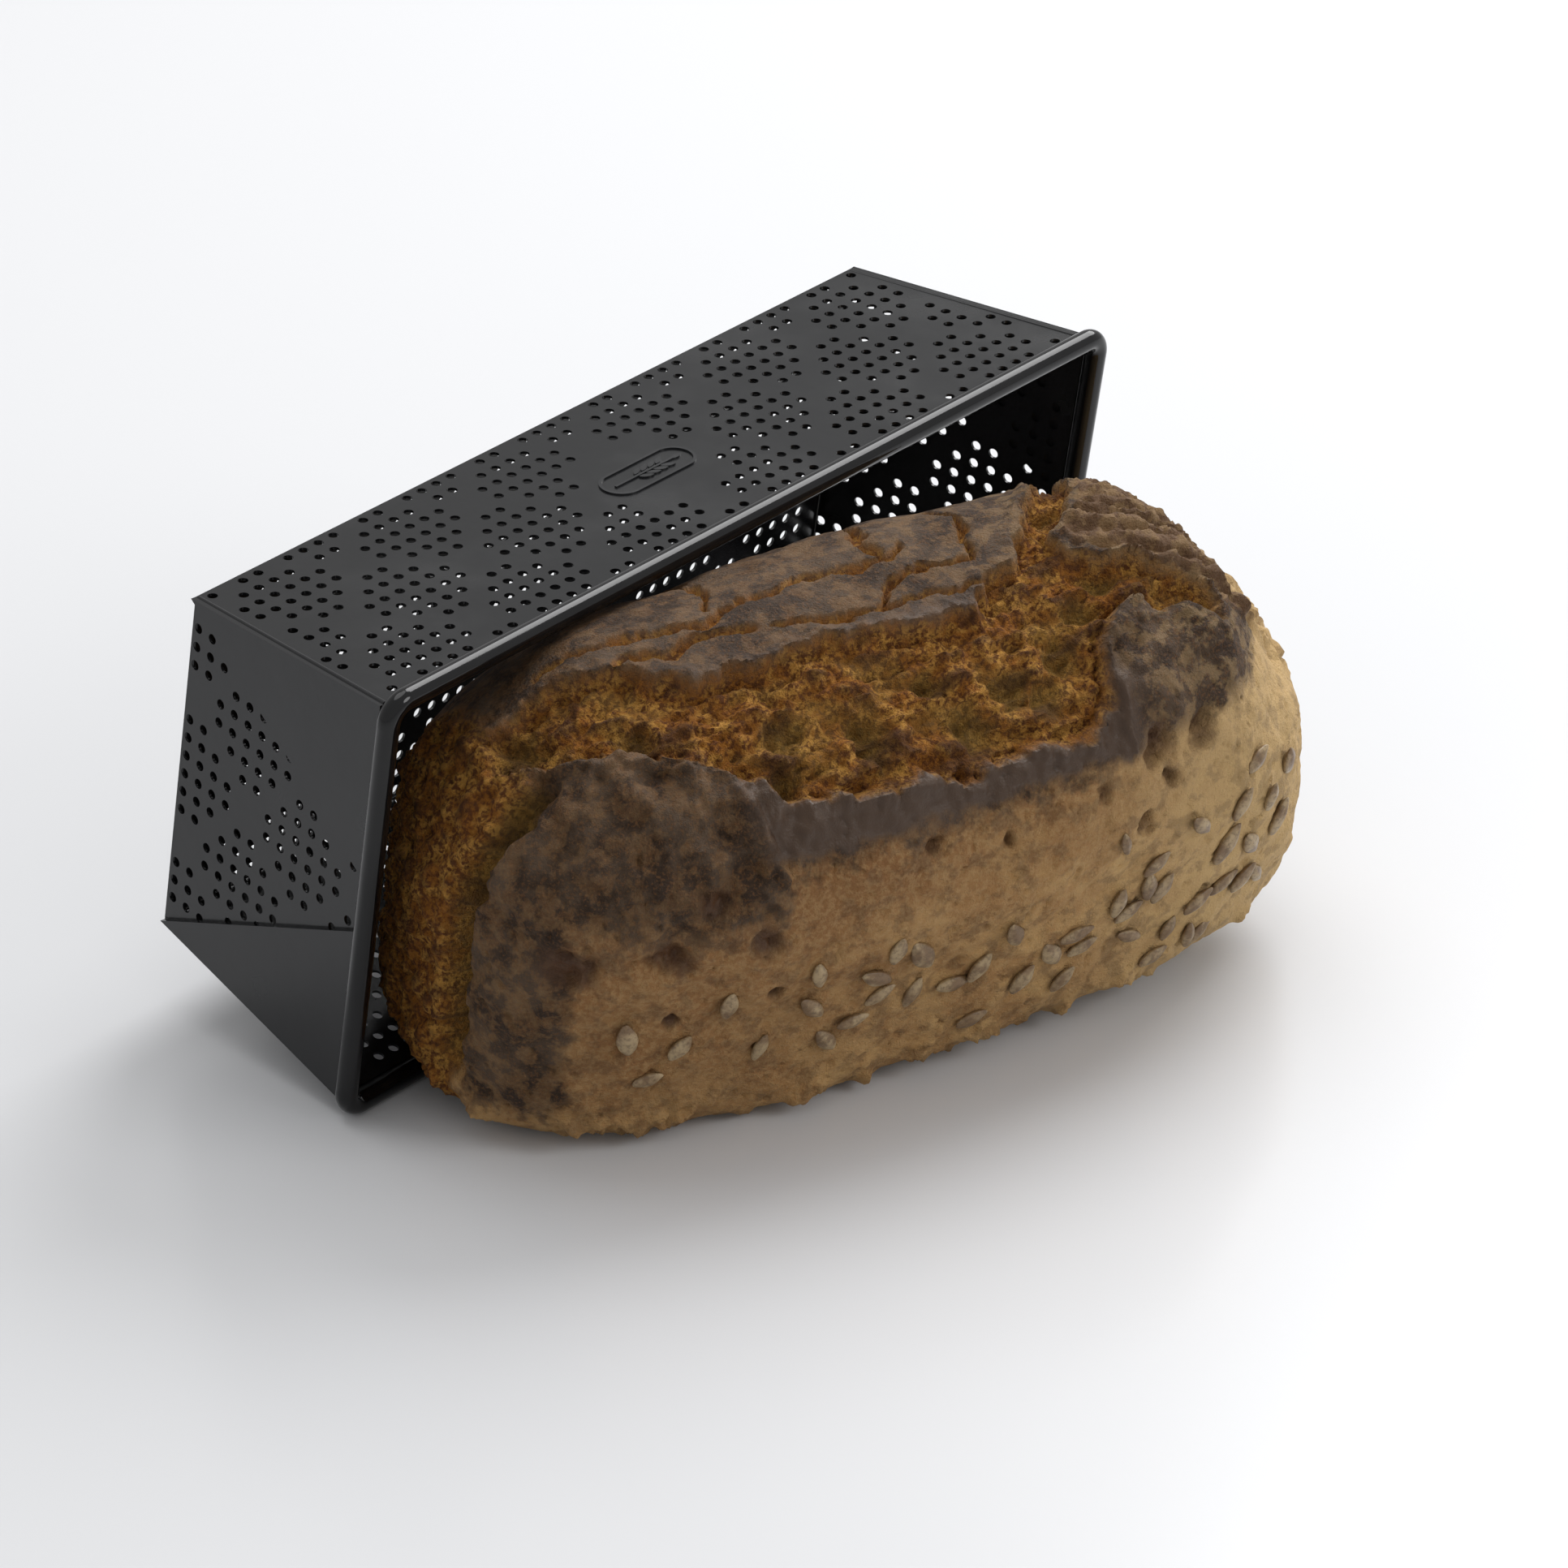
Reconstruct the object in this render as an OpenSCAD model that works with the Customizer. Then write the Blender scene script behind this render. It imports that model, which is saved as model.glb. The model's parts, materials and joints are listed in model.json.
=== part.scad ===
// Bread loaf coming out of a perforated loaf tin.
// The tin is one folded sheet, drawn here panel by panel at its fold lines.
// It lies on a long side, with its mouth towards -Y and its base towards +Y.
// The loaf leans out of the mouth, its front edge on the ground.
// Millimetres, +Z up, origin on the ground under the middle of the whole object.

/* [Tin] */
// Length of the base between its two end folds
base_l = 277; // [240:1:300]
// Width of the base between its two side folds
base_w = 108; // [100:1:116]
// Height of the walls, from the base to the rim
wall_h = 79.6; // [74:0.2:88]
// Outward lean of the two long walls, in degrees
side_lean = 8; // [5:0.5:10]
// Outward lean of the two end walls, in degrees
end_lean = 7.5; // [5:0.5:10]
// Thickness of the steel sheet
sheet = 0.8; // [0.6:0.1:1]

/* [Perforation] */
// Distance between neighbouring holes
pitch = 6; // [5.5:0.5:7]
// Diameter of a hole
hole_d = 3; // [2:0.2:4]

/* [Rim] */
// Outer radius of the rolled edge
roll_r = 3.2; // [2.8:0.1:3.2]
// Bend radius of the rolled edge at a corner, on its centre line
roll_bend = 6; // [5:0.5:10]
// Half the gap between two gussets where they reach the rim
gusset_gap = 9; // [5:1:20]

/* [Badge] */
// Length of the pressed badge on the upper wall
badge_l = 35; // [24:1:36]
// Width of the pressed badge
badge_w = 13; // [11:1:14]
// Height of the badge above the sheet
badge_h = 0.5; // [0.3:0.1:0.8]

/* [Stand] */
// Dip of the mouth below level as the tin lies on its side, in degrees
mouth_dip = 9; // [8:0.5:10]

/* [Loaf] */
// Length of the loaf at its foot
loaf_l = 270; // [240:2:272]
// Width of the loaf at its foot
loaf_w = 115; // [104:1:115]
// Height of the loaf
loaf_h = 126; // [105:1:127]
// Width that the loaf gains from its foot to its shoulder
loaf_spread = 16; // [8:1:18]
// Squareness of the loaf's outline from above, 2 is an ellipse
loaf_square = 3; // [2.6:0.1:3.2]
// Turn of the loaf away from the tin's length, in degrees
loaf_turn = 20; // [18:1:22]
// Forward lean of the loaf, whose back lies on the tin's lower wall, in degrees
loaf_lean = 13.5; // [13.5:0.5:15]

/* [Seeds] */
// Length of a sunflower seed
seed_l = 11; // [8:0.5:12]
// Greatest width of a sunflower seed
seed_w = 4.6; // [3.6:0.2:5.6]

/* [Hidden] */
$fn = 48;

enamel = [0.13, 0.13, 0.14];
badge_grey = [0.22, 0.22, 0.23];
crust = [0.66, 0.49, 0.27];
seed_brown = [0.42, 0.35, 0.26];

// Walls: slant heights and the outline of the mouth under the rim
side_s = wall_h / cos(side_lean);
end_s = wall_h / cos(end_lean);
top_l = base_l + 2 * wall_h * tan(end_lean);
top_w = base_w + 2 * wall_h * tan(side_lean);
// Clearance left where two sheets meet edge to face
fold_gap = 0.03;
// Sheet left between a hole and the edge of its panel
hole_margin = 2.2;
// Centres of the hole clusters repeat after this many pitches
cluster_step = 8;
// A cluster is the holes within this many pitches of its centre, counted along both axes
cluster_reach = 3;
// Row of the cluster that the badge takes the place of, in pitches from the base's middle
badge_row = 16;

// Rim: centre line of the roll, outward from and above the top of the wall
roll_out = 1.7;
roll_up = 2.75;
roll_x = top_l / 2 + roll_out;
roll_y = top_w / 2 + roll_out;
roll_z = wall_h + roll_up;
// Gussets stop this far below the top of the wall, clear of the roll
gusset_drop = 0.7;
// The top corners of each wall are cut off this low and this long, clear of the roll's bends
corner_drop = 0.7;
corner_run = 5;

// Stand: the lower roll rests on the ground
tin_z = roll_r + roll_y * cos(mouth_dip) + roll_z * sin(mouth_dip);
// Depth of the object in front of the tin's base, which sets the origin halfway
tin_y = 107.2;

// Loaf: foot centre, its height above the ground and its small tilt along its length
loaf_x = -6;
loaf_y = tin_y - 124.2;
loaf_z = 13;
loaf_tilt = -2.5;
// Height of the widest part, and the radius that rounds the foot's edge
shoulder_h = 68;
foot_r = 14;
// What each end draws in for each millimetre of height
end_draw = 0.13;
// Rings and points a ring of the loaf's skin
dome_rings = 10;
foot_rings = 4;
ring_points = 64;

// ---------- tin ----------

module tin_place() {
    translate([0, tin_y, tin_z]) rotate([90 + mouth_dip, 0, 0]) children();
}

// Distance of a lattice value to the nearest cluster centre
function off_centre(k) = abs(k - cluster_step * round(k / cluster_step));
function in_cluster(u, v) =
    min(off_centre(u) + off_centre(v),
        off_centre(u - cluster_step / 2) + off_centre(v - cluster_step / 2)) <= cluster_reach;
function under_badge(u, v) = abs(u) <= cluster_reach && abs(v - badge_row) <= cluster_reach;

// Holes in one panel of the flat sheet. fold is how far the panel's lower edge is from the sheet's
// middle, half is half its width there, and widen is what half gains for each millimetre of height.
module sheet_holes(fold, height, half, widen, badge = false) {
    first = ceil((fold + hole_margin) / pitch - 0.5);
    last = floor((fold + height - hole_margin) / pitch - 0.5);
    for (j = [first:last]) {
        v = j + 0.5;
        reach = half + widen * (v * pitch - fold) - hole_margin - hole_d / 2;
        count = floor(reach / pitch - 0.5);
        for (i = [-count - 1:count]) {
            u = i + 0.5;
            if (in_cluster(u, v) && !(badge && under_badge(u, v)))
                translate([u * pitch, v * pitch - fold]) circle(d = hole_d);
        }
    }
}

// Wall outline, wider at the top, with its top corners cut off
module wall_outline(bottom, top, height) {
    low = height - corner_drop;
    half = bottom / 2 + (top - bottom) / 2 * low / height;
    polygon([[-bottom / 2, 0], [bottom / 2, 0], [half, low], [top / 2 - corner_run, height],
             [corner_run - top / 2, height], [-half, low]]);
}

module base_panel() color(enamel) tin_place() {
    inner_l = base_l - 2 * (sheet / cos(end_lean) + fold_gap);
    inner_w = base_w - 2 * (sheet / cos(side_lean) + fold_gap);
    linear_extrude(sheet) difference() {
        square([inner_l, inner_w], center = true);
        translate([0, -base_w / 2]) sheet_holes(-base_w / 2, base_w, base_l / 2, 0);
    }
}

// Places a long wall drawn flat: x along the fold, y up the wall, thickness inwards
module on_side(side) {
    mirror([0, side < 0 ? 1 : 0, 0])
        translate([0, base_w / 2, 0]) rotate([90 - side_lean, 0, 0]) children();
}

module side_wall(side, badge = false) {
    on_side(side) linear_extrude(sheet) difference() {
        wall_outline(base_l, top_l, side_s);
        sheet_holes(base_w / 2, side_s, base_l / 2, (top_l - base_l) / 2 / side_s, badge);
    }
}

module upper_side_wall() color(enamel) tin_place() side_wall(1, badge = true);
module lower_side_wall() color(enamel) tin_place() side_wall(-1);

// Places an end wall drawn flat: x along the fold, y up the wall, thickness inwards
module on_end(side) {
    mirror([side < 0 ? 1 : 0, 0, 0])
        translate([base_l / 2, 0, 0]) rotate([0, 0, -90]) rotate([90 - end_lean, 0, 0]) children();
}

module end_wall(side) {
    trim = 2 * (sheet / cos(side_lean) + fold_gap);
    on_end(side) linear_extrude(sheet) difference() {
        wall_outline(base_w - trim, top_w - trim, end_s);
        sheet_holes(base_l / 2, end_s, base_w / 2, (top_w - base_w) / 2 / end_s);
    }
}

module left_end_wall() color(enamel) tin_place() end_wall(-1);
module right_end_wall() color(enamel) tin_place() end_wall(1);

// Corner fold: two layers of sheet laid flat on the outside of an end wall
module gusset(side, up) {
    height = end_s - gusset_drop;
    edge = base_w / 2 + (top_w - base_w) / 2 * height / end_s;
    on_end(side) mirror([up, 0, 0]) translate([0, 0, -2 * sheet]) linear_extrude(2 * sheet)
        polygon([[base_w / 2, 0], [edge, height], [gusset_gap, height]]);
}

module gusset_left_upper() color(enamel) tin_place() gusset(-1, 1);
module gusset_left_lower() color(enamel) tin_place() gusset(-1, 0);
module gusset_right_upper() color(enamel) tin_place() gusset(1, 1);
module gusset_right_lower() color(enamel) tin_place() gusset(1, 0);

module roll_section() {
    difference() {
        circle(r = roll_r);
        circle(r = roll_r - sheet);
    }
}

// Straight run of hollow roll along X, centred
module straight_roll(length) {
    translate([-length / 2, 0, 0]) rotate([90, 0, 90]) linear_extrude(length) roll_section();
}

module long_roll(side) {
    translate([0, side * roll_y, roll_z]) straight_roll(2 * (roll_x - roll_bend));
}

module end_roll(side) {
    mirror([side < 0 ? 1 : 0, 0, 0]) translate([roll_x, 0, roll_z]) {
        rotate([0, 0, 90]) straight_roll(2 * (roll_y - roll_bend));
        for (m = [0, 1]) mirror([0, m, 0])
            translate([-roll_bend, roll_y - roll_bend, 0])
                rotate_extrude(angle = 90) translate([roll_bend, 0]) roll_section();
    }
}

module rim_upper() color(enamel) tin_place() long_roll(1);
module rim_lower() color(enamel) tin_place() long_roll(-1);
module rim_left() color(enamel) tin_place() end_roll(-1);
module rim_right() color(enamel) tin_place() end_roll(1);

// Long shape with round ends
module stadium(length, width) {
    square([length - width, width], center = true);
    for (x = [-1, 1]) translate([x * (length - width) / 2, 0]) circle(d = width);
}

// Pointed grain: two arcs that meet at its tips
module grain(length, width) {
    r = (length * length / 4 + width * width / 4) / width;
    intersection() {
        translate([0, r - width / 2]) circle(r = r);
        translate([0, width / 2 - r]) circle(r = r);
    }
}

// Ear of wheat lying along X
module wheat_ear() {
    stem_l = 24;
    stem_w = 0.8;
    square([stem_l, stem_w], center = true);
    for (k = [0:3], m = [0, 1]) mirror([0, m])
        translate([3 * k - 1, 1.9]) rotate(28) grain(4.6, 1.7);
    translate([stem_l / 2 + 1.4, 0]) grain(4.6, 1.7);
}

module badge() color(badge_grey) tin_place() {
    line_w = 0.9;
    on_side(1) translate([0, badge_row * pitch - base_w / 2, -badge_h]) linear_extrude(badge_h) {
        difference() {
            stadium(badge_l, badge_w);
            stadium(badge_l - 2 * line_w, badge_w - 2 * line_w);
        }
        translate([-1.5, 0]) wheat_ear();
    }
}

// ---------- loaf ----------

module loaf_place() {
    translate([loaf_x, loaf_y, loaf_z]) rotate([loaf_lean, loaf_tilt, -loaf_turn]) children();
}

// How far the skin is drawn in from its full width at a height: a rounded foot and a dome
function dome(h) = sqrt(1 - pow((h - shoulder_h) / (loaf_h - shoulder_h), 2));
function foot(h) = sqrt(1 - pow(1 - h / foot_r, 2));
function half_w(h) =
    h > shoulder_h ? (loaf_w + loaf_spread) / 2 * (0.12 + 0.88 * dome(h))
    : (loaf_w + loaf_spread * h / shoulder_h) / 2 - (h < foot_r ? foot_r * (1 - foot(h)) : 0);
// The ends draw in with the sides, and lean in towards the top
function half_l(h) = (loaf_l - loaf_w) / 2 + half_w(h) - end_draw * h;

// Point of the skin at an angle around the loaf and a height
function skin(a, h) =
    let (r = pow(pow(abs(cos(a)), loaf_square) + pow(abs(sin(a)), loaf_square), -1 / loaf_square))
    [half_l(h) * r * cos(a), half_w(h) * r * sin(a), h];

ring_heights = concat([for (k = [0:foot_rings]) foot_r * (1 - cos(90 * k / foot_rings))],
                      [shoulder_h * 0.6],
                      [for (k = [0:dome_rings])
                          shoulder_h + (loaf_h - shoulder_h) * sin(90 * k / dome_rings)]);

module loaf_body() color(crust) loaf_place() {
    rings = len(ring_heights);
    points = [for (h = ring_heights, k = [0:ring_points - 1]) skin(360 * k / ring_points, h)];
    sides = [for (r = [0:rings - 2], k = [0:ring_points - 1])
        let (n = (k + 1) % ring_points)
        each [[r * ring_points + k, (r + 1) * ring_points + k, (r + 1) * ring_points + n],
              [r * ring_points + k, (r + 1) * ring_points + n, r * ring_points + n]]];
    bottom = [for (k = [0:ring_points - 1]) k];
    top = [for (k = [ring_points - 1:-1:0]) (rings - 1) * ring_points + k];
    polyhedron(points, concat(sides, [bottom, top]));
}

// Pointed seed along X, round across
module seed() {
    rotate([0, 90, 0]) rotate_extrude()
        polygon([[0, -seed_l / 2], [0.36 * seed_w, -seed_l / 4], [seed_w / 2, 0],
                 [0.36 * seed_w, seed_l / 4], [0, seed_l / 2]]);
}

// Seeds pressed into the skin, each at [angle around the loaf, height, turn on the skin]
module seeds(places) {
    for (s = places) {
        here = skin(s[0], s[1]);
        along = skin(s[0] + 1, s[1]) - here;
        translate(here) rotate([0, 0, atan2(along[1], along[0])]) rotate([90, 0, 0]) rotate(s[2])
            seed();
    }
}

front_left = [[212, 58, 60], [218, 30, 100], [226, 22, 80], [231, 40, 20]];
front_middle = [[247, 62, 70], [255, 48, 95], [262, 44, 70], [266, 28, 40], [271, 40, 80],
                [276, 34, 60], [279, 52, 35], [284, 26, 20]];
front_right = [[292, 46, 30], [296, 58, 60], [301, 34, 25], [304, 50, 50], [308, 42, 20],
               [311, 60, 75], [315, 30, 40], [317, 52, 15]];
right_end = [[324, 40, 45], [329, 56, 70], [334, 34, 30], [339, 62, 80], [344, 46, 60], [352, 66, 85]];

module seeds_front_left() color(seed_brown) loaf_place() seeds(front_left);
module seeds_front_middle() color(seed_brown) loaf_place() seeds(front_middle);
module seeds_front_right() color(seed_brown) loaf_place() seeds(front_right);
module seeds_right_end() color(seed_brown) loaf_place() seeds(right_end);

base_panel();
upper_side_wall();
lower_side_wall();
left_end_wall();
right_end_wall();
gusset_left_upper();
gusset_left_lower();
gusset_right_upper();
gusset_right_lower();
rim_upper();
rim_lower();
rim_left();
rim_right();
badge();
loaf_body();
seeds_front_left();
seeds_front_middle();
seeds_front_right();
seeds_right_end();
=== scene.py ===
# %% [markdown]
# # A bread loaf coming out of a perforated loaf tin
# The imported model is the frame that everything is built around. It holds the tin, panel by panel, with
# every hole in its place, and a plain solid for the loaf. Here the sheet gets its enamel, its folds get
# their round edges, and the plain loaf gives way to a torn, dark-crusted one with seeds in its sides.

# %% Open the frame
import json
import math

import bpy
import numpy as np
from mathutils import Euler, Matrix, Vector, noise
from mathutils.kdtree import KDTree


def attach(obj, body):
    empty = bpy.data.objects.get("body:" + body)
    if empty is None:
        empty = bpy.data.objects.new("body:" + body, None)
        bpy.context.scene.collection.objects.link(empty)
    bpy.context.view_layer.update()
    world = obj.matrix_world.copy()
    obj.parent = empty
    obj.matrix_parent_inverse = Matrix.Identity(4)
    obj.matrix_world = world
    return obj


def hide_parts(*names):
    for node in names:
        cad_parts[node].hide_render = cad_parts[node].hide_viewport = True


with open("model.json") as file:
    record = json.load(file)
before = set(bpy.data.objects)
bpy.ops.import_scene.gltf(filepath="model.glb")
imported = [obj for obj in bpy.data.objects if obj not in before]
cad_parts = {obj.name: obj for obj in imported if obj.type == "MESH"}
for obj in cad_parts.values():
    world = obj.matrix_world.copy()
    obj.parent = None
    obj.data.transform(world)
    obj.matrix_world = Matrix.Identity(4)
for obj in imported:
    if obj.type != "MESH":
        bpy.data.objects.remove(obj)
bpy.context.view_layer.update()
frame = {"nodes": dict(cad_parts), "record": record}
MM = 0.001

# %% [markdown]
# The render shows colours as they are, without a film curve, so that a white floor stays white and the
# crust keeps its own brown. Small helpers follow: one clears the selection, because an operator acts on
# everything that is selected, and one starts a material with its main shader at hand.

# %% Helpers for objects and materials
bpy.context.scene.view_settings.view_transform = "Standard"


def deselect():
    if bpy.context.object and bpy.context.object.mode != "OBJECT":
        bpy.ops.object.mode_set(mode="OBJECT")
    bpy.ops.object.select_all(action="DESELECT")


def pick(*objects):
    deselect()
    for o in objects:
        o.select_set(True)
    bpy.context.view_layer.objects.active = objects[-1]


def new_material(name):
    material = bpy.data.materials.new(name)
    material.use_nodes = True
    tree = material.node_tree
    return material, tree, tree.nodes["Principled BSDF"]


def attribute_node(tree, name):
    n = tree.nodes.new("ShaderNodeAttribute")
    n.attribute_name = name
    return n


def math_node(tree, operation, a, b=None, clamp=False):
    n = tree.nodes.new("ShaderNodeMath")
    n.operation = operation
    n.use_clamp = clamp
    for socket, value in zip(n.inputs, (a, b)):
        if hasattr(value, "links"):
            tree.links.new(value, socket)
        elif value is not None:
            socket.default_value = value
    return n.outputs[0]


def mix_colour(tree, factor, a, b, blend="MIX"):
    n = tree.nodes.new("ShaderNodeMix")
    n.data_type = "RGBA"
    n.blend_type = blend
    for socket, value in zip((n.inputs[0], n.inputs[6], n.inputs[7]), (factor, a, b)):
        if hasattr(value, "links"):
            tree.links.new(value, socket)
        elif isinstance(value, tuple):
            socket.default_value = value + (1,)
        else:
            socket.default_value = value
    return n.outputs[2]


# %% [markdown]
# Enamel, crust and crumb all need soft patches and fine grain, so both are node groups, built once and
# used with other sizes in each material. `mottle` gives a mask from 0 to 1 with an adjustable edge, and
# `grain` gives a height for a bump: coarse lumps with fine ones on them. Sizes are in millimetres.


# %% Node groups: mottle and grain
def new_group(name, inputs, outputs):
    group = bpy.data.node_groups.new(name, "ShaderNodeTree")
    for label, value in inputs.items():
        socket = group.interface.new_socket(label, in_out="INPUT", socket_type="NodeSocketFloat")
        socket.default_value = value
    for label in outputs:
        group.interface.new_socket(label, in_out="OUTPUT", socket_type="NodeSocketFloat")
    return group, group.nodes.new("NodeGroupInput"), group.nodes.new("NodeGroupOutput")


def noise_at(group, size_socket, detail=4.0, offset=0.0):
    """Noise whose lumps are as large as the socket says, in millimetres."""
    place = group.nodes.new("ShaderNodeTexCoord").outputs["Object"]
    shift = group.nodes.new("ShaderNodeMapping")
    shift.inputs["Location"].default_value = (offset, offset, offset)
    group.links.new(place, shift.inputs["Vector"])
    tex = group.nodes.new("ShaderNodeTexNoise")
    tex.inputs["Detail"].default_value = detail
    tex.inputs["Roughness"].default_value = 0.6
    group.links.new(shift.outputs[0], tex.inputs["Vector"])
    group.links.new(math_node(group, "DIVIDE", 1000.0, size_socket), tex.inputs["Scale"])
    return tex.outputs["Fac"]


def make_mottle():
    group, start, end = new_group("mottle", {"Size": 20.0, "Low": 0.4, "High": 0.6}, ["Mask"])
    soft = group.nodes.new("ShaderNodeMapRange")
    soft.interpolation_type = "SMOOTHSTEP"
    group.links.new(noise_at(group, start.outputs["Size"]), soft.inputs["Value"])
    group.links.new(start.outputs["Low"], soft.inputs["From Min"])
    group.links.new(start.outputs["High"], soft.inputs["From Max"])
    group.links.new(soft.outputs["Result"], end.inputs["Mask"])
    return group


def make_grain():
    group, start, end = new_group("grain", {"Size": 3.0, "Fine": 0.4}, ["Height"])
    coarse = noise_at(group, start.outputs["Size"], detail=3.0)
    fine = noise_at(group, math_node(group, "DIVIDE", start.outputs["Size"], 5.0), detail=3.0, offset=3.0)
    both = math_node(group, "ADD", coarse, math_node(group, "MULTIPLY", fine, start.outputs["Fine"]))
    group.links.new(both, end.inputs["Height"])
    return group


MOTTLE = make_mottle()
GRAIN = make_grain()


def use_group(tree, group, **values):
    n = tree.nodes.new("ShaderNodeGroup")
    n.node_tree = group
    for name, value in values.items():
        n.inputs[name].default_value = value
    return n.outputs[0]


def bump_from(tree, height, distance_mm, strength=1.0):
    n = tree.nodes.new("ShaderNodeBump")
    n.inputs["Strength"].default_value = strength
    n.inputs["Distance"].default_value = distance_mm * MM
    tree.links.new(height, n.inputs["Height"])
    return n.outputs["Normal"]


print("node groups:", [g.name for g in bpy.data.node_groups])

# %% [markdown]
# ## The tin
# The tin is dark enamelled steel. Enamel is glass melted on metal, so it is smooth and glossy with a very
# slight orange-peel ripple, and it is a little duller where hands and dough have rubbed it. The base
# colour is nearly black; what is seen is mostly the studio in its gloss.


# %% Enamel
def make_enamel(name, colour, worn_colour, dullness=0.2):
    material, tree, shader = new_material(name)
    rubbed = use_group(tree, MOTTLE, Size=38.0, Low=0.42, High=0.75)
    specks = use_group(tree, MOTTLE, Size=1.1, Low=0.66, High=0.72)
    tone = mix_colour(tree, rubbed, colour, worn_colour)
    tone = mix_colour(tree, math_node(tree, "MULTIPLY", specks, 0.35), tone, worn_colour)
    tree.links.new(tone, shader.inputs["Base Color"])
    rough = math_node(tree, "MULTIPLY_ADD", rubbed, 0.09)
    rough.node.inputs[2].default_value = dullness
    tree.links.new(rough, shader.inputs["Roughness"])
    ripple = use_group(tree, GRAIN, Size=9.0, Fine=0.1)
    tree.links.new(bump_from(tree, ripple, 0.12, 0.5), shader.inputs["Normal"])
    shader.inputs["IOR"].default_value = 1.5
    shader.inputs["Specular IOR Level"].default_value = 0.38
    return material


enamel = make_enamel("dark_enamel", (0.006, 0.0062, 0.007), (0.011, 0.0112, 0.012))
badge_enamel = make_enamel("badge_enamel", (0.012, 0.0125, 0.0135), (0.02, 0.0205, 0.022))
# The rim is the same enamel with its colour halved, a painted shade so that it reads black; its lower
# roughness makes it glossier.
rim_enamel = make_enamel("rim_enamel", (0.003, 0.003, 0.0035), (0.006, 0.006, 0.0065), 0.08)

TIN_NODES = frame["record"]["behaviour"]["bodies"]["tin"]
for name in TIN_NODES:
    node = frame["nodes"][name]
    node.data.materials.clear()
    finish = rim_enamel if name.startswith("rim") else enamel
    node.data.materials.append(badge_enamel if name == "badge" else finish)
print("enamelled nodes:", len(TIN_NODES))

# %% [markdown]
# Folded steel never has a knife edge: it turns over a small radius, and the enamel makes it rounder
# still. That round edge is what catches the light along every fold. The panels meet sharply here, so a
# round bead covers each fold: one line round the base and one up each corner, drawn as a curve with a
# round section, sunk so far in that only its outer side shows, and made into a mesh.

# %% Beads along the folds
BASE_HALF = (138.5, 54.0)
MOUTH_HALF = (148.98, 65.19)
WALL_H = 79.6
BEAD_R, BEAD_SINK = 1.0, 0.62
tin_place = Matrix.Translation((0, 107.2, 82.146)) @ Matrix.Rotation(math.radians(99), 4, "X")


def add_fold_beads():
    curve = bpy.data.curves.new("fold_beads", "CURVE")
    curve.dimensions = "3D"
    curve.bevel_depth = BEAD_R
    curve.bevel_resolution = 4
    curve.use_fill_caps = True
    bx, by = (half - BEAD_SINK for half in BASE_HALF)
    mx, my = (half - BEAD_SINK for half in MOUTH_HALF)
    corners = [(-1, -1), (1, -1), (1, 1), (-1, 1)]
    lines = [([(i * bx, j * by, BEAD_SINK) for i, j in corners], True)]
    lines += [([(i * bx, j * by, BEAD_SINK), (i * mx, j * my, WALL_H - 1)], False) for i, j in corners]
    for line, closed in lines:
        spline = curve.splines.new("POLY")
        spline.points.add(len(line) - 1)
        spline.use_cyclic_u = closed
        for point, place in zip(spline.points, line):
            point.co = place + (1,)
    beads = bpy.data.objects.new("fold_beads", curve)
    bpy.context.scene.collection.objects.link(beads)
    pick(beads)
    bpy.ops.object.convert(target="MESH")
    beads = bpy.context.object
    beads.data.materials.clear()
    beads.data.materials.append(enamel)
    beads.data.transform(Matrix.Scale(MM, 4) @ tin_place)
    bpy.ops.object.shade_smooth_by_angle(angle=math.radians(50))
    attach(beads, "tin")
    return beads


print("bead faces:", len(add_fold_beads().data.polygons))

# %% [markdown]
# ## The loaf
# A tin loaf is a block with round shoulders under a dome, and this one has torn open along its top. A
# block of even squares suits it: a cube is added, cut into small squares, and each corner of the grid is
# moved to its place on the loaf. The first shape is exactly the plain solid of the frame, worked out from
# the same few sizes. What makes it bread is then pushed in and out of that skin.

# %% Sizes of the loaf, in millimetres and degrees
LOAF_L, LOAF_W, LOAF_H = 270.0, 115.0, 126.0
SPREAD, SHOULDER, FOOT_R, SQUARE, END_DRAW = 16.0, 68.0, 14.0, 3.0, 0.13
LOAF_FOOT = Vector((-6.0, -17.0, 13.0))
LOAF_TURN = Euler((math.radians(13.5), math.radians(-2.5), math.radians(-20)))
TOP_EDGE = 108.0
loaf_place = Matrix.Translation(LOAF_FOOT * MM) @ LOAF_TURN.to_matrix().to_4x4()


def half_width(h):
    dome = np.sqrt(np.clip(1 - ((h - SHOULDER) / (LOAF_H - SHOULDER)) ** 2, 0, 1))
    corner = FOOT_R * (1 - np.sqrt(np.clip(1 - (1 - np.minimum(h, FOOT_R) / FOOT_R) ** 2, 0, 1)))
    wall = (LOAF_W + SPREAD * h / SHOULDER) / 2 - corner
    return np.where(h > SHOULDER, (LOAF_W + SPREAD) / 2 * (0.12 + 0.88 * dome), wall)


def half_length(h):
    return (LOAF_L - LOAF_W) / 2 + half_width(h) - END_DRAW * h


def height_over(x, y):
    """Height of the dome over a point of its plan, found by halving."""
    low, high = np.full(x.shape, TOP_EDGE), np.full(x.shape, LOAF_H)
    for _ in range(24):
        mid = (low + high) / 2
        inside = (np.abs(x) / half_length(mid)) ** SQUARE + (np.abs(y) / half_width(mid)) ** SQUARE < 1
        low, high = np.where(inside, mid, low), np.where(inside, high, mid)
    return low


print("loaf at its shoulder, mm:", float(half_length(SHOULDER) * 2), "x", float(half_width(SHOULDER) * 2))

# %% [markdown]
# The cube is cut first into cells that are about square on the loaf, five along it and two across and up,
# and then each cell is cut evenly. Only the edges along one axis are selected for each of the first cuts,
# and they are picked by their length, with everything else deselected in edit mode first.

# %% Add a cube and cut it into small squares
CELLS = (5, 2, 2)
CUTS = 54


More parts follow.
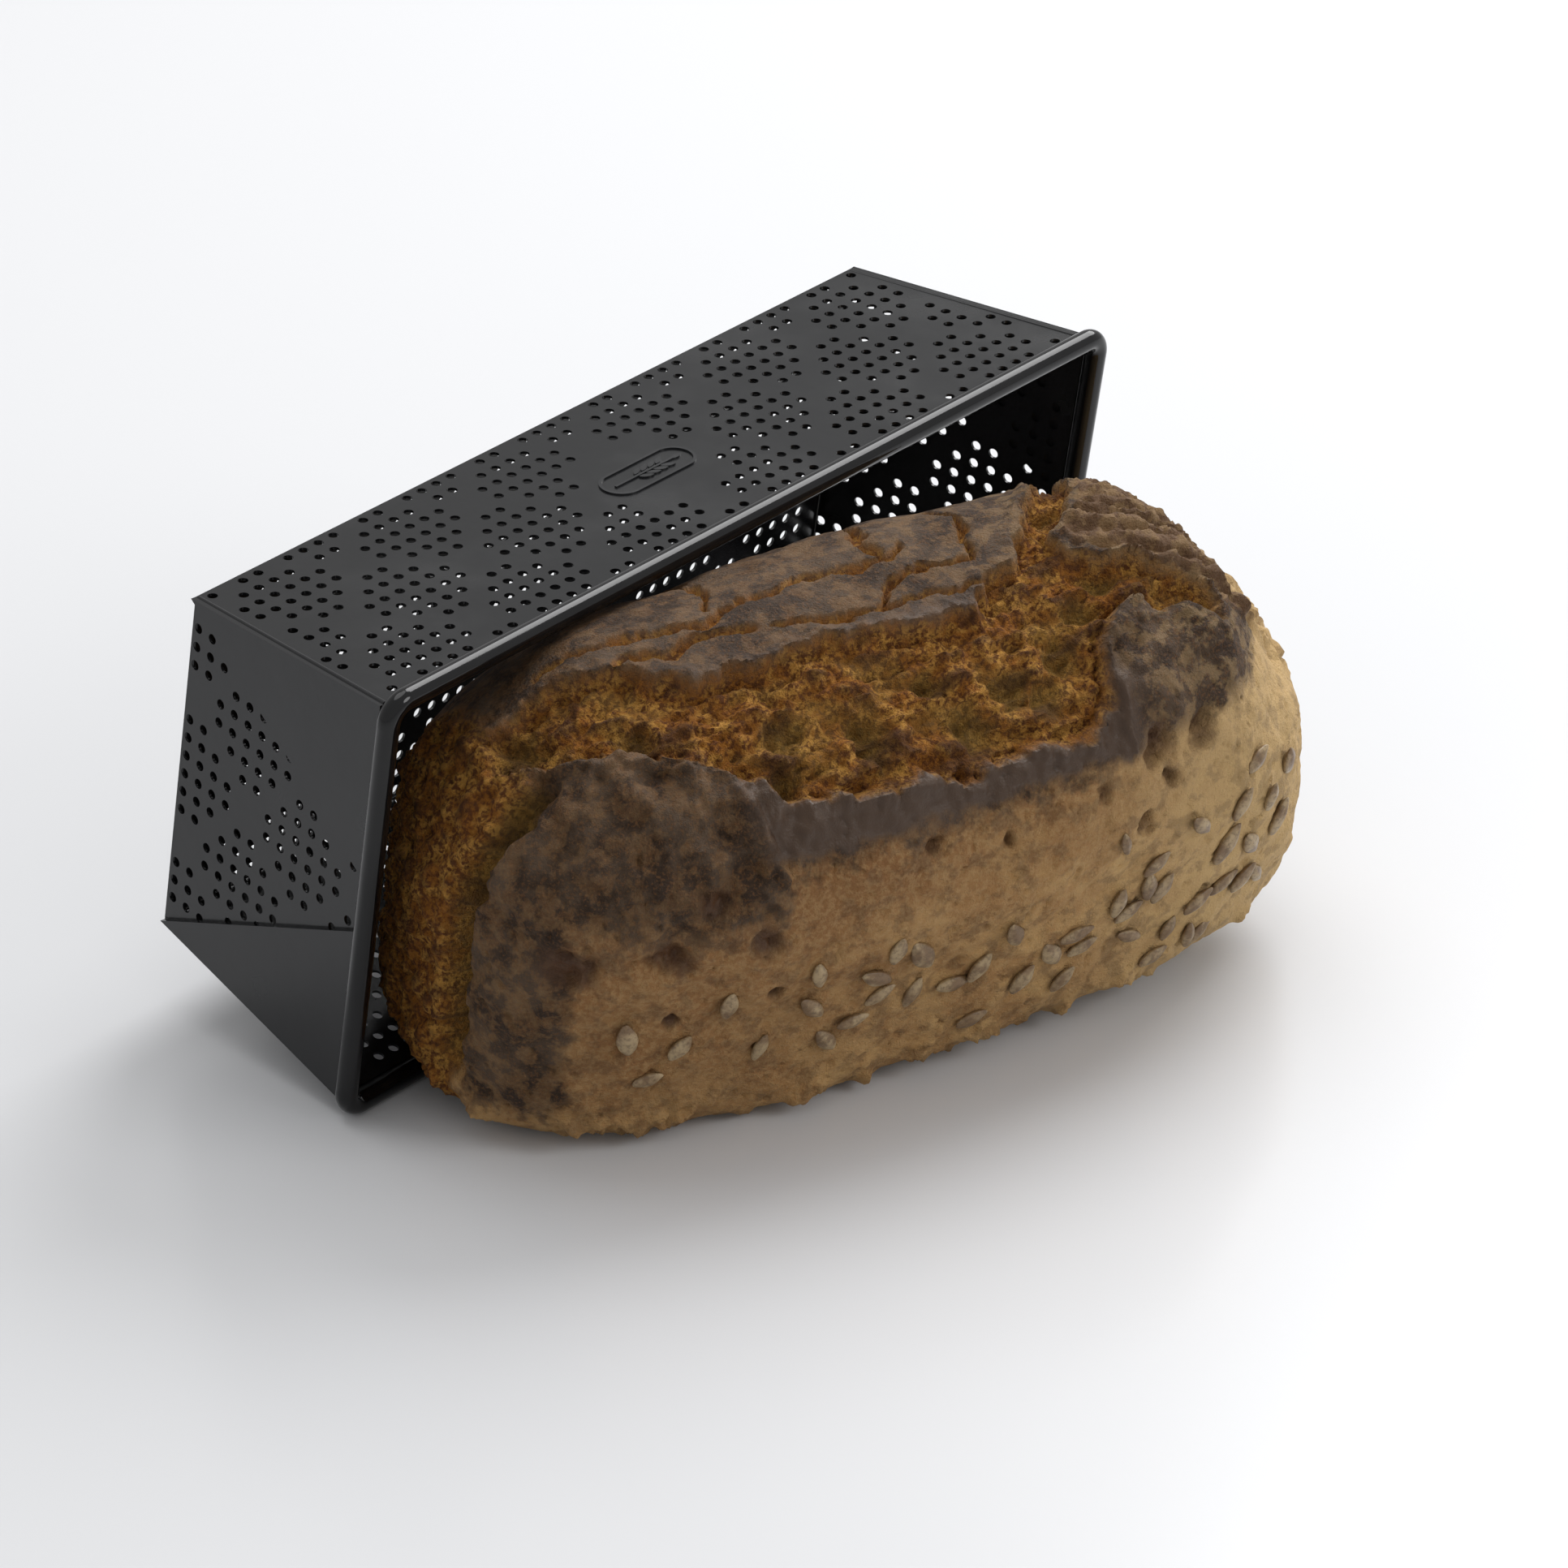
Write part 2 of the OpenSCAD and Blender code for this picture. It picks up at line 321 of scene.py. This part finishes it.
def add_gridded_cube(name):
    deselect()
    bpy.ops.mesh.primitive_cube_add(size=2)
    cube = bpy.context.object
    cube.name = name
    for axis, cells in enumerate(CELLS):
        bpy.ops.object.mode_set(mode="EDIT")
        bpy.ops.mesh.select_mode(type="EDGE")
        bpy.ops.mesh.select_all(action="DESELECT")
        bpy.ops.object.mode_set(mode="OBJECT")
        for e in cube.data.edges:
            a, b = (cube.data.vertices[i].co for i in e.vertices)
            e.select = abs(a[axis] - b[axis]) > 1.5
        bpy.ops.object.mode_set(mode="EDIT")
        bpy.ops.mesh.subdivide(number_cuts=cells - 1)
    bpy.ops.mesh.select_all(action="SELECT")
    bpy.ops.mesh.subdivide(number_cuts=CUTS)
    bpy.ops.object.mode_set(mode="OBJECT")
    return cube


loaf = add_gridded_cube("loaf")
mesh = loaf.data
cube_points = np.empty(len(mesh.vertices) * 3)
mesh.vertices.foreach_get("co", cube_points)
cube_points = cube_points.reshape(-1, 3)
print("squares:", len(mesh.polygons), "largest coordinate:", cube_points.max().round(3))


# %% [markdown]
# A point's height on the cube gives its height on the loaf, and its direction from the middle gives its
# place on the ring there. The cube's top face becomes the cap of the dome, and its bottom face the foot.

# %% Lay the cube's grid on the loaf's skin
def lay_on_skin(c):
    u, v, w = c.T
    reach = np.maximum(np.abs(u), np.abs(v))
    flat = np.abs(w) > 0.999
    ring = np.where(reach > 1e-6, reach, 1)
    uu, vv = u / ring, v / ring
    norm = (np.abs(uu) ** SQUARE + np.abs(vv) ** SQUARE) ** (1 / SQUARE)
    norm = np.where(norm > 0, norm, 1)
    h = np.where(flat & (w < 0), 0.0, (w + 1) / 2 * TOP_EDGE)
    scale = np.where(flat, reach, 1)
    x = half_length(h) * uu / norm * scale
    y = half_width(h) * vv / norm * scale
    z = np.where(flat & (w > 0), height_over(x, y), h)
    return np.stack([x, y, z], 1)


skin = lay_on_skin(cube_points)
mesh.vertices.foreach_set("co", skin.ravel())
mesh.update()
normals = np.empty(len(mesh.vertices) * 3)
mesh.vertex_normals.foreach_get("vector", normals)
normals = normals.reshape(-1, 3)
X, Y, Z = skin.T
print("plain loaf, mm:", skin.min(0).round(1), skin.max(0).round(1))

# %% [markdown]
# Torn bread is built from a few simple fields over the skin. Each is a number for every point: how far a
# point is inside an outline, how near it is to a crack, how rough the noise is there. Outlines are drawn
# in plan for the top and in front view for the side, with only the points they need, and a wobble from
# noise makes their edges ragged. The same fields later tell the material what is crumb and what is crust.


# %% Fields: noise, outlines and lines
def rough_noise(points, size, octaves=4, seed=0, stretch=(1, 1, 1)):
    """Layered noise from about -1 to 1, with lumps of that size in millimetres."""
    shift = Vector((seed * 17.3, seed * 5.1, seed * 9.7))
    scaled = points * np.array(stretch) / size
    return np.array([noise.fractal(Vector(p) + shift, 1.0, 2.0, octaves) for p in scaled])


def smooth(low, high, value):
    t = np.clip((value - low) / (high - low), 0, 1)
    return t * t * (3 - 2 * t)


def line_distance(x, y, line):
    """Distance to an open line of points."""
    nearest = np.full(x.shape, 1e9)
    for (ax, ay), (bx, by) in zip(line, line[1:]):
        dx, dy = bx - ax, by - ay
        t = np.clip(((x - ax) * dx + (y - ay) * dy) / (dx * dx + dy * dy), 0, 1)
        nearest = np.minimum(nearest, np.hypot(x - ax - t * dx, y - ay - t * dy))
    return nearest


def inside_depth(x, y, outline):
    """Distance to a closed outline, positive inside it."""
    closed = outline + outline[:1]
    inside = np.zeros(x.shape, bool)
    for (ax, ay), (bx, by) in zip(closed, closed[1:]):
        if ay != by:
            crosses = (ay > y) != (by > y)
            inside ^= crosses & (x < (bx - ax) * (y - ay) / (by - ay) + ax)
    return np.where(inside, 1, -1) * line_distance(x, y, closed)


def spots(x, y, places):
    """Soft round spots, each (x, y, radius), as a mask from 0 to 1."""
    mask = np.zeros(x.shape)
    for px, py, r in places:
        mask = np.maximum(mask, smooth(1.0, 0.25, np.hypot(x - px, y - py) / r))
    return mask


n_large = rough_noise(skin, 45, 3, 1)
n_mid = rough_noise(skin, 13, 4, 2)
n_small = rough_noise(skin, 4.5, 4, 3)
n_fibre = rough_noise(skin, 5.0, 5, 4, (0.3, 1, 1))
wobble_x = 3.0 * rough_noise(skin, 9, 4, 5)
wobble_y = 3.0 * rough_noise(skin, 9, 4, 6)
PX, PY, PZ = X + wobble_x, Y + wobble_y, Z + wobble_y
print("noise fields ready")

# %% [markdown]
# The tear runs along the middle of the top, from the left end to a pocket at the right, with a branch to
# the back. Behind it lie flat, dark plates of crust with cracks between them. Two lobes of crust stand
# over its front edge, left and right, and the back right corner has risen in layers. The left end is
# bare crumb, split from the crust beside it by an upright cleft.

# %% Outlines of the tear, lobes and layers, in plan
TEAR = [(-114, -2), (-100, -16), (-76, -26), (-59, -37), (-55, -46), (-40, -48), (0, -52), (40, -52),
        (50, -47), (53, -38), (60, -27), (72, -24), (84, -28), (95, -32), (101, -26), (94, -18), (78, -11),
        (64, -4), (60, 4), (72, 17), (84, 34), (92, 60), (84, 60), (72, 36), (60, 20), (50, 8), (46, -2),
        (35, -4), (30, -10), (22, -14), (4, -13), (-20, -8), (-58, -8), (-70, -2), (-78, 6), (-92, 12),
        (-112, 10)]
LEFT_LOBE = [(-126, -12), (-116, -2), (-108, -6), (-98, -18), (-76, -28), (-59, -39), (-55, -70),
             (-130, -70), (-134, -30)]
RIGHT_LOBE = [(60, -27), (72, -24), (84, -29), (97, -34), (108, -40), (116, -70), (50, -70), (52, -40)]
LAYERS = [(62, 4), (74, 17), (88, 36), (98, 62), (150, 62), (150, -20), (104, -26), (95, -18), (78, -11)]
CRACKS = [([(-76, 8), (-60, 5), (-48, 7), (-36, 6)], 1.6),
          ([(-30, 4), (-16, 0), (2, -4), (14, -3), (32, -6)], 0.9),
          ([(-92, 20), (-66, 17), (-46, 12), (-30, 18), (-8, 20), (8, 15), (20, 20)], 1.5),
          ([(12, 17), (13, 32), (20, 52)], 1.4), ([(2, -4), (6, 4), (18, 8), (36, 6)], 1.0),
          ([(-40, 20), (-34, 36), (-38, 54)], 1.1), ([(36, 6), (42, 22), (40, 40)], 0.8)]
PITS = [(-42, -31, 8), (-47, -42, 7), (-20, -40, 7), (10, -44, 9), (26, -36, 8), (44, -31, 8), (56, -20, 7),
        (93, -28, 7), (66, -12, 6), (-84, -17, 7), (-110, 2, 9), (2, -30, 6), (70, 22, 7), (34, -45, 7)]

print("outlines:", len(TEAR), len(LEFT_LOBE), len(RIGHT_LOBE), len(LAYERS), "cracks:", len(CRACKS))

# %% [markdown]
# A mask is 1 inside its outline and falls to 0 over a millimetre or two, so an edge is steep but never
# torn open. The top's outlines count only above the shoulder. The left end, which no outline from above
# can reach, gets its crumb and its cleft from plain distances along the loaf.

# %% Masks from the outlines
on_top = smooth(93, 101, Z)
on_front = smooth(0, -20, Y) * smooth(-134, -124, X)
tear_depth = np.where(on_top > 0, inside_depth(PX, PY, TEAR), -20)
tear = smooth(-0.8, 1.2, tear_depth) * on_top
left_lobe = smooth(-0.5, 1.5, inside_depth(PX, PY, LEFT_LOBE)) * smooth(70, 92, Z + 0.6 * wobble_x)
right_lobe = smooth(-0.5, 1.5, inside_depth(PX, PY, RIGHT_LOBE)) * smooth(92, 104, Z)
layers = smooth(-0.5, 1.5, inside_depth(PX, PY, LAYERS)) * smooth(60, 84, Z)
crack = np.zeros(X.shape)
for line, width in CRACKS:
    crack = np.maximum(crack, smooth(width + 0.8, width * 0.4, line_distance(PX, PY, line)))
crack *= on_top * (1 - tear)
pits = spots(PX, PY, PITS) * tear

left_end = smooth(-108, -116, X + 0.5 * wobble_x) * smooth(-19, -16, PY)
cleft = smooth(6.5, 1.5, np.abs(PY + 17)) * smooth(-104, -112, X) * smooth(14, 26, Z)
crumb = np.clip(tear + left_end + crack * 0.9, 0, 1)
print("share that is crumb:", crumb.mean().round(3))

# %% [markdown]
# Heights follow. The tear sinks, its pits sink further, the lobes and plates stand over it with a sharp
# lip, and the back right corner is stepped in layers like slates. The foot and the hidden side keep only
# gentle lumps.

# %% Push the skin in and out
step = np.sin((PY * 0.95 + PX * 0.25 + 5 * n_large) * 2 * math.pi / 7.0)
slates = smooth(-0.9, 0.9, step) * 3.2 - 1.6
FRONT_PITS = [(-115, 72, 10), (-90, 76, 8), (-62, 76, 7), (-78, 91, 6), (62, 96, 7), (77, 94, 6), (66, 87, 4),
              (-12, 91, 4), (12, 86, 3), (43, 90, 3), (56, 76, 4), (-58, 55, 4), (-88, 50, 4)]
front_pits = spots(X + 0.7 * wobble_x, PZ, FRONT_PITS) * on_front
lip = smooth(-7, -1.0, tear_depth) * (1 - tear) * on_top

front_skin = smooth(5, -25, Y)
pores = smooth(0.42, 0.75, rough_noise(skin, 4.2, 3, 8))
flakes = front_skin * smooth(24, 10, Z) * smooth(0.0, 0.6, n_mid)
push = 2.2 * n_large + (0.6 + 0.7 * front_skin) * n_mid + (0.15 + 0.3 * front_skin) * n_small
push += 2.2 * flakes * (0.6 + n_small) - 0.9 * front_skin * pores
push += tear * (-4.8 + 3.0 * n_mid + 3.0 * n_fibre + 1.4 * n_small) - 6.0 * pits
push += 1.3 * lip * (1 + 0.8 * n_small) + left_lobe * (1.6 + 2.0 * n_mid + 0.7 * n_small)
push += right_lobe * (1.6 + 0.9 * n_mid)
push += layers * (slates + 1.0 * n_small + 1.4 * n_mid) - 3.2 * crack
push += left_end * (1.8 * n_fibre + 1.2 * n_small) - 11.0 * cleft
push += front_pits * (-2.8 + 2.4 * n_small)
push = np.minimum(push - 1.4 * smooth(-10, 25, Y) * smooth(70, 100, Z), 4.0)
push *= smooth(0, 7, Z)
corner = smooth(84, 132, X) * smooth(52, 100, Z)
moved = skin + normals * push[:, None]
moved[:, 0] -= 11.0 * corner
mesh.vertices.foreach_set("co", moved.ravel())
mesh.update()
print("push, mm:", push.min().round(1), push.max().round(1))

# %% [markdown]
# The masks go into the mesh as colour attributes, one number for each channel, so that the material can
# follow the surface. Char is the dark crust, glaze the smooth band that steam has made shiny, and cave
# the pockets that the heat did not brown. Burnt marks the ridges in the tear. The last channel is painted
# light: it makes the crust paler towards the right end, where the key light falls.

# %% Store the masks in the mesh
band = smooth(95, 99, PZ) * smooth(-66, -56, PX) * on_front * (1 - tear) * smooth(64, 52, PX)
char = np.clip((1 - crumb) * on_top, 0, 1)
char = np.maximum(char, left_lobe * (1 - tear))
char = np.maximum(char, 0.85 * smooth(88, 97, PZ) * on_front * smooth(60, 20, X))
char = np.maximum(char, 0.9 * smooth(-110, -117, X + wobble_x) * smooth(-19, -22, PY) * smooth(8, 20, Z))
char = np.maximum(char, 0.8 * smooth(0, 30, Y) * smooth(40, 80, Z))
glaze = np.clip(band + 0.8 * front_pits * smooth(0, -40, X), 0, 1)
brown = np.clip(smooth(40, -100, X) * 0.8 + 0.7 * smooth(62, 96, PZ) - 0.5 * smooth(30, 8, Z), 0, 1)


def store(name, r, g, b, a):
    attribute = mesh.color_attributes.new(name, "FLOAT_COLOR", "POINT")
    attribute.data.foreach_set("color", np.stack([r, g, b, a], 1).ravel())


burnt = tear * smooth(0.05, 0.55, n_fibre + 0.6 * n_mid) + 0.9 * front_pits
burnt = np.clip(burnt + 0.8 * left_end * smooth(0.1, 0.6, n_fibre), 0, 1)
cave = np.clip(pits + 1.2 * cleft + 0.5 * smooth(1.5, 5.0, tear_depth) * smooth(0.1, -0.5, n_mid), 0, 1)
store("zones", crumb, char, glaze, cave)
# The fourth channel of tones is painted light, rising from 0 to 1 towards the right end where the key light
# falls.
store("tones", brown, layers, burnt, smooth(20, 105, X))


print("colour attributes:", [a.name for a in mesh.color_attributes])

# %% [markdown]
# The bread has one material, because crust turns into crumb without a seam. Tan crust, golden crumb and
# dark crust are mixed from patches of noise, and the masks choose between them. Crumb is dull and very
# rough, glazed crust is smooth, and ridges inside the tear are burnt dark.

# %% Crust and crumb
def make_bread():
    material, tree, shader = new_material("bread_crust")
    zones = attribute_node(tree, "zones")
    tones = attribute_node(tree, "tones")
    zone = tree.nodes.new("ShaderNodeSeparateColor")
    tone = tree.nodes.new("ShaderNodeSeparateColor")
    tree.links.new(zones.outputs["Color"], zone.inputs[0])
    tree.links.new(tones.outputs["Color"], tone.inputs[0])
    crumb_in, char_in, glaze_in = zone.outputs
    brown_in, layer_in, burnt_in = tone.outputs
    cave_in, right_end_light_in = zones.outputs["Alpha"], tones.outputs["Alpha"]

    blotch = use_group(tree, MOTTLE, Size=14.0, Low=0.4, High=0.6)
    patch = use_group(tree, MOTTLE, Size=6.0, Low=0.42, High=0.62)
    fleck = use_group(tree, MOTTLE, Size=1.6, Low=0.42, High=0.62)
    dust = use_group(tree, MOTTLE, Size=0.9, Low=0.5, High=0.64)

    tan = mix_colour(tree, blotch, (0.38, 0.205, 0.075), (0.50, 0.30, 0.118))
    tan = mix_colour(tree, math_node(tree, "MULTIPLY", brown_in, 0.8), tan, (0.20, 0.085, 0.026))
    tan = mix_colour(tree, math_node(tree, "MULTIPLY", patch, 0.35), tan, (0.17, 0.08, 0.03))
    tan = mix_colour(tree, math_node(tree, "MULTIPLY", fleck, 0.35), tan, (0.46, 0.30, 0.135))
    # Painted light: the tan is lifted to a pale tan towards the right end, as if lit by the key light there.
    tan = mix_colour(tree, math_node(tree, "MULTIPLY", right_end_light_in, 0.7), tan, (0.62, 0.43, 0.20))
    gold = mix_colour(tree, patch, (0.44, 0.165, 0.022), (0.74, 0.37, 0.075))
    gold = mix_colour(tree, fleck, gold, (0.18, 0.06, 0.013))
    gold = mix_colour(tree, math_node(tree, "MULTIPLY", cave_in, 0.5), gold, (0.50, 0.33, 0.09))
    dark = mix_colour(tree, blotch, (0.033, 0.017, 0.008), (0.085, 0.053, 0.031))
    dark = mix_colour(tree, math_node(tree, "MULTIPLY", dust, 0.45), dark, (0.17, 0.075, 0.024))
    dark = mix_colour(tree, math_node(tree, "MULTIPLY", layer_in, 0.6), dark, (0.17, 0.09, 0.042))

    edge = math_node(tree, "MULTIPLY_ADD", math_node(tree, "SUBTRACT", patch, 0.5), 0.5)
    tree.links.new(char_in, edge.node.inputs[2])
    colour = mix_colour(tree, edge, tan, dark)
    colour = mix_colour(tree, glaze_in, colour, (0.06, 0.035, 0.021))
    colour = mix_colour(tree, crumb_in, colour, gold)
    colour = mix_colour(tree, math_node(tree, "MULTIPLY", burnt_in, 0.72), colour, (0.075, 0.03, 0.011))
    tree.links.new(colour, shader.inputs["Base Color"])
    shader.inputs["Specular IOR Level"].default_value = 0.26

    rough = math_node(tree, "MULTIPLY_ADD", glaze_in, -0.36)
    rough.node.inputs[2].default_value = 0.66
    rough = math_node(tree, "ADD", rough, math_node(tree, "MULTIPLY", crumb_in, 0.25), clamp=True)
    tree.links.new(rough, shader.inputs["Roughness"])

    grain = use_group(tree, GRAIN, Size=3.2, Fine=0.7)
    fine = use_group(tree, GRAIN, Size=1.3, Fine=0.6)
    lively = math_node(tree, "MULTIPLY_ADD", crumb_in, 1.3)
    lively.node.inputs[2].default_value = 0.45
    calm = math_node(tree, "SUBTRACT", 1.0, math_node(tree, "MULTIPLY", glaze_in, 0.8))
    height = math_node(tree, "ADD", grain, math_node(tree, "MULTIPLY", fine, 0.5))
    height = math_node(tree, "MULTIPLY", height, math_node(tree, "MULTIPLY", lively, calm))
    tree.links.new(bump_from(tree, height, 2.5, 1.0), shader.inputs["Normal"])
    return material


mesh.materials.append(make_bread())
print("bread nodes:", len(mesh.materials[0].node_tree.nodes))

# %% [markdown]
# The foot and the back are plain, so they need far fewer squares than the torn top. A vertex group marks
# them, and a Decimate modifier takes faces away there and leaves the rest as it is.

# %% Thin out the plain sides, then set the loaf in its place
pick(loaf)
plain = loaf.vertex_groups.new(name="plain_sides")
hidden = (Z < 4) | ((Y > 34) & (Z < 96) & (np.abs(X) < 118))
plain.add([int(i) for i in np.flatnonzero(hidden)], 1.0, "REPLACE")
thin = loaf.modifiers.new("thin", "DECIMATE")
thin.vertex_group = plain.name
thin.ratio = 0.66
bpy.ops.object.modifier_apply(modifier=thin.name)
bpy.ops.object.shade_smooth_by_angle(angle=math.radians(60))
mesh.transform(Matrix.Scale(MM, 4))
mesh.transform(loaf_place)
mesh.update()
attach(loaf, "loaf")
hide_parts("loaf_body")
print("loaf triangles:", sum(len(p.vertices) - 2 for p in mesh.polygons))

# %% [markdown]
# ## The seeds
# Sunflower kernels are flat drops, blunt at one end and pointed at the other. One is made from a sphere,
# in edit mode, and every seed in the crust is a copy of it: laid on the skin at its place in front view,
# turned by its own angle, scaled a little and sunk by a fifth of its thickness. The places are in the
# four groups of the frame.

# %% Places of the seeds: along the front, height, turn, size
SEED_GROUPS = {
    "seeds_front_left": [(-99, 48, 100, 1.1), (-84, 41, 60, 0.9), (-72, 54, 85, 0.9), (-47, 60, 100, 0.9),
                         (-47, 46, 130, 1.0), (-92, 30, 20, 0.8), (-60, 34, 75, 0.9)],
    "seeds_front_middle": [(-23, 61, 80, 0.9), (-14, 55, 120, 1.2), (-28, 51, 150, 1.0), (-25, 42, 30, 0.9),
                           (-13, 37, 70, 1.0), (-33, 35, 10, 0.9), (-40, 30, 125, 1.0), (0, 36, 0, 1.0),
                           (6, 41, 60, 1.0), (15, 52, 110, 0.9), (7, 20, 15, 0.9), (21, 31, 60, 1.0),
                           (30, 37, 120, 1.0), (36, 43, 10, 1.0)],
    "seeds_front_right": [(40, 35, 20, 0.9), (36, 25, 50, 0.9), (48, 73, 100, 0.7), (50, 48, 80, 1.0),
                          (55, 42, 30, 0.9), (60, 50, 95, 1.0), (62, 58, 40, 0.9), (65, 47, 60, 1.0),
                          (75, 68, 130, 0.9), (68, 18, 20, 0.9), (80, 34, 30, 1.0), (80, 20, 90, 0.9),
                          (58, 30, 150, 0.9), (72, 27, 70, 0.8)],
    "seeds_right_end": [(90, 68, 60, 1.0), (88, 52, 60, 1.3), (90, 35, 20, 1.0), (98, 32, 30, 1.0),
                        (105, 28, 120, 0.9), (85, 18, 40, 0.9), (98, 78, 30, 0.9), (103, 62, 80, 0.9),
                        (97, 47, 120, 1.0), (110, 48, 60, 1.1), (114, 66, 100, 1.0)],
}


def make_seed_material():
    material, tree, shader = new_material("sunflower_seed")
    patch = use_group(tree, MOTTLE, Size=7.0, Low=0.4, High=0.6)
    fleck = use_group(tree, MOTTLE, Size=1.2, Low=0.45, High=0.65)
    tone = mix_colour(tree, patch, (0.17, 0.10, 0.045), (0.36, 0.26, 0.14))
    tone = mix_colour(tree, math_node(tree, "MULTIPLY", fleck, 0.5), tone, (0.08, 0.045, 0.02))
    tree.links.new(tone, shader.inputs["Base Color"])
    shader.inputs["Roughness"].default_value = 0.38
    height = use_group(tree, GRAIN, Size=1.2, Fine=0.4)
    tree.links.new(bump_from(tree, height, 0.25, 0.6), shader.inputs["Normal"])
    return material


def add_seed(name):
    """One kernel, 11 mm long, its point towards +X, lying flat on the ground of its own axes."""
    deselect()
    bpy.ops.mesh.primitive_uv_sphere_add(segments=20, ring_count=14, radius=1)
    seed = bpy.context.object
    seed.name = name
    bpy.ops.object.mode_set(mode="EDIT")
    bpy.ops.mesh.select_all(action="SELECT")
    bpy.ops.transform.rotate(value=math.radians(90), orient_axis="Y")
    bpy.ops.object.mode_set(mode="OBJECT")
    for v in seed.data.vertices:
        x, y, z = v.co
        blunt = 1.0 - 0.42 * max(0.0, x) ** 1.5 + 0.1 * min(0.0, x)
        v.co = (5.6 * x, 2.8 * y * blunt, 1.5 * z * blunt + 0.12 * math.cos(6 * y))
    return seed


print("seeds:", {name: len(places) for name, places in SEED_GROUPS.items()})

# %% [markdown]
# Each place is looked up on the plain skin, where front view and height are exact, and the seed is then
# set on the pushed skin at that same point, with the skin's own direction as its upright. The copies of
# a group are joined, so each group stays one piece.

# %% Lay the seeds on the crust
finder = KDTree(len(skin))
for i in np.flatnonzero(Y < 10):
    finder.insert((X[i], 0, Z[i]), int(i))
finder.balance()
seed_material = make_seed_material()
random = np.random.default_rng(7)


def seed_matrix(x, z, turn, size):
    _, i, _ = finder.find((x, 0, z))
    out = Vector(normals[i])
    along = Vector((1, 0, 0)) - out * out.x
    along.normalize()
    along.rotate(Matrix.Rotation(math.radians(turn), 3, out))
    across = out.cross(along)
    turned = Matrix((along, across, out)).transposed().to_4x4()
    stretch = Matrix.Diagonal((size, size * random.uniform(0.85, 1.1), size, 1))
    return Matrix.Translation(Vector(moved[i]) + out * 0.95) @ turned @ stretch


kernel = add_seed("kernel")
seed_pieces = []
for node_name, places in SEED_GROUPS.items():
    copies = []
    for place in places:
        copy = bpy.data.objects.new(node_name + "_kernels", kernel.data.copy())
        bpy.context.scene.collection.objects.link(copy)
        copy.data.transform(seed_matrix(*place))
        copies.append(copy)
    pick(*reversed(copies))
    bpy.ops.object.join()
    seed_pieces.append((bpy.context.object, node_name))
bpy.data.objects.remove(kernel)
print("seed groups:", [(o.name, len(o.data.polygons)) for o, _ in seed_pieces])

# %% [markdown]
# The seeds were laid in the loaf's own millimetres, so they take the loaf's place and scale with it.

# %% Seeds into their place on the loaf
for piece, node_name in seed_pieces:
    pick(piece)
    piece.data.materials.append(seed_material)
    bpy.ops.object.shade_smooth()
    piece.data.transform(loaf_place @ Matrix.Scale(MM, 4))
    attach(piece, "loaf")
    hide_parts(node_name)

# %% [markdown]
# ## The studio
# A pale floor with a soft gloss, one large light high on the right, two weaker ones above and in front,
# and a white sky. The camera has a long lens, so the tin's edges stay nearly parallel.


# %% Floor, lights and camera
def add_floor():
    deselect()
    bpy.ops.mesh.primitive_plane_add(size=30, location=(0, 0, 0))
    floor = bpy.context.object
    floor.name = "floor"
    material, tree, shader = new_material("pale_floor")
    shader.inputs["Base Color"].default_value = (0.66, 0.665, 0.68, 1)
    shader.inputs["Roughness"].default_value = 0.24
    floor.data.materials.append(material)


def add_area_light(name, place, aim, size, power):
    light = bpy.data.lights.new(name, "AREA")
    light.shape = "DISK"
    light.size = size
    light.energy = power
    lamp = bpy.data.objects.new(name, light)
    lamp.location = place
    lamp.rotation_euler = (Vector(aim) - Vector(place)).to_track_quat("-Z", "Y").to_euler()
    bpy.context.scene.collection.objects.link(lamp)


def add_sky(strength):
    world = bpy.data.worlds.new("white_sky")
    world.use_nodes = True
    world.node_tree.nodes["Background"].inputs["Color"].default_value = (1, 1, 1, 1)
    world.node_tree.nodes["Background"].inputs["Strength"].default_value = strength
    bpy.context.scene.world = world


def add_camera():
    data = bpy.data.cameras.new("camera")
    data.lens = 192.56
    data.sensor_width = 36
    data.clip_end = 100
    camera = bpy.data.objects.new("camera", data)
    camera.location = (-1.5783, -1.3381, 1.1795)
    camera.rotation_euler = (math.radians(90 - 28.52), 0, math.radians(-49.57))
    bpy.context.scene.collection.objects.link(camera)
    bpy.context.scene.camera = camera


add_floor()
add_sky(0.58)
add_area_light("key", (1.5, 0.2, 1.5), (0, 0, 0.05), 1.5, 34)
add_area_light("top", (0.1, 0.5, 2.0), (0, 0, 0), 1.6, 12)
add_area_light("fill", (0.6, -1.9, 1.3), (0, 0, 0.05), 1.0, 12)
add_camera()
